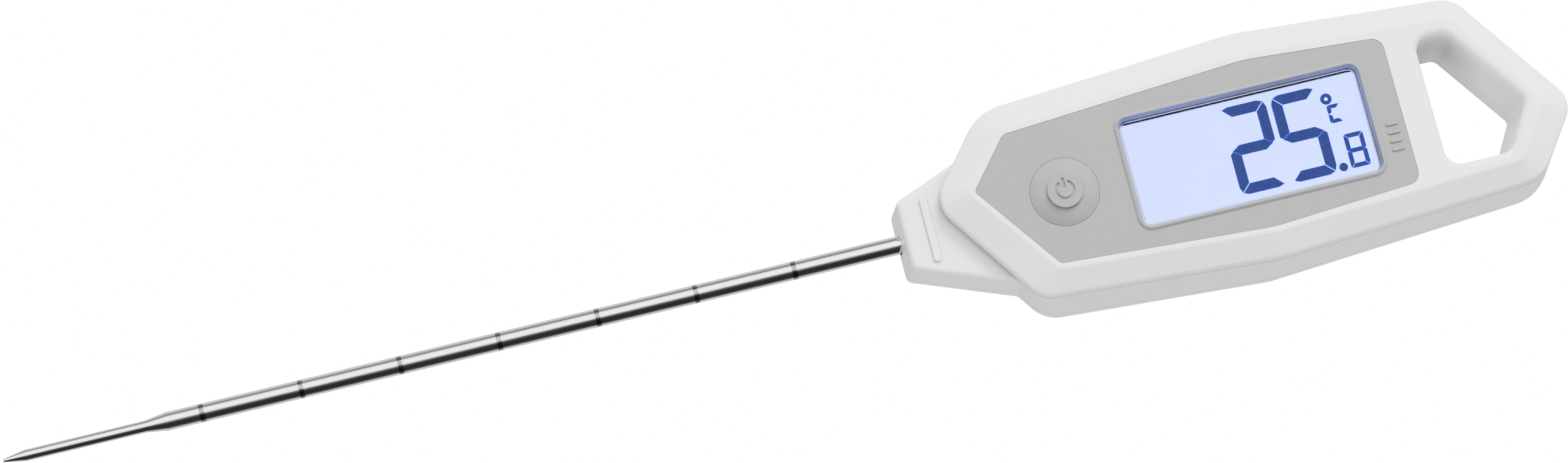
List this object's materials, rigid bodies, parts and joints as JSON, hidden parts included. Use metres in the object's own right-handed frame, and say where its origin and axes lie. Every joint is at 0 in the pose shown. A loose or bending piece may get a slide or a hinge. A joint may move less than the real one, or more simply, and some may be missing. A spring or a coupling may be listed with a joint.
{
  "type": "meat thermometer",
  "caption": "Handheld digital probe thermometer: long pointed steel probe, flat white handle with grey face plate, lit display, domed key and angular hanging hole.",
  "frame": {"origin": "bottom centre of the whole part's box, lying on its back", "axes": "+X along the probe's axis from tip to hanging hole, +Z out of the display side, +Y across the handle"},
  "size_m": [0.3168, 0.0482, 0.0196],
  "materials": {
    "white_abs": "fine satin moulding texture",
    "silicone": "soft matte",
    "screw_steel": "zinc plated, slightly worn",
    "grey_plate": "fine-grained matte",
    "tape": "white adhesive foam",
    "clear_window": "clear polished acrylic",
    "grey_key": "soft-touch matte",
    "switch_black": "moulded",
    "switch_white": "moulded",
    "lcd_blue": "dark blue display figures",
    "polarizer": "pale blue lit display field",
    "lcd_glass": "polished glass",
    "diffuser": "diffusing film",
    "light_guide": "clear acrylic",
    "lamp": "lamp resin",
    "holder_white": "moulded",
    "zebra": "striped elastomer",
    "board_green": "solder mask",
    "resin_black": "glob of epoxy",
    "can_steel": "drawn can",
    "chip_black": "chip",
    "chip_tan": "ceramic chip",
    "spring_nickel": "nickel-plated spring steel",
    "cell_steel": "nickel-plated can",
    "white_cover": "satin moulding",
    "oring_black": "soft",
    "probe_steel": "polished stainless steel with dark depth bands",
    "brass_collar": "turned",
    "bead_glass": "glass bead",
    "lead_red": "insulated wire",
    "lead_white": "insulated wire",
    "resin_amber": "thermal resin"
  },
  "bodies": {
    "case": {"front_shell": "white_abs", "rear_shell": "white_abs", "case_gasket": "silicone", "hole_gasket": "silicone", "case_screws": "screw_steel", "face_plate": "grey_plate", "face_plate_tape": "tape", "display_window": "clear_window", "window_tape": "tape", "tact_switch_body": "switch_black", "lcd_segments": "lcd_blue", "lcd_front_polarizer": "polarizer", "lcd_front_glass": "lcd_glass", "lcd_rear_glass": "lcd_glass", "lcd_reflector": "diffuser", "backlight_guide": "light_guide", "backlight_leds": "lamp", "lcd_holder": "holder_white", "zebra_strip": "zebra", "pcb": "board_green", "pcb_screws": "screw_steel", "mcu_blob": "resin_black", "crystal": "can_steel", "chip_resistors": "chip_black", "chip_capacitors": "chip_tan", "battery_holder": "holder_white", "battery_contact_positive": "spring_nickel", "battery_contact_negative": "spring_nickel", "coin_cell": "cell_steel", "probe_tube": "probe_steel", "probe_anchor": "brass_collar", "probe_seal": "silicone", "thermistor_bead": "bead_glass", "sensor_lead_a": "lead_red", "sensor_lead_b": "lead_white", "tip_potting": "resin_amber"},
    "key": {"button_dome": "grey_key"},
    "plunger": {"tact_switch_plunger": "switch_white"},
    "cover": {"battery_cover": "white_cover", "battery_cover_oring": "oring_black"}
  },
  "joints": [
    {"name": "button_press", "type": "slide", "parent": "case", "child": "key", "axis": [0, 0, -1], "range_m": [0, 0.0008], "stiffness_N_per_m": 2500},
    {"name": "switch_travel", "type": "slide", "parent": "case", "child": "plunger", "axis": [0, 0, -1], "range_m": [0, 0.0003]},
    {"name": "cover_turn", "type": "hinge", "parent": "case", "child": "cover", "pos_m": [0.0836, -0.00016, 0.0015], "axis": [0, 0, -1], "range_deg": [0, 60]}
  ],
  "couplings": [
    {"joint": "switch_travel", "follows": "button_press", "ratio": 0.3125}
  ]
}
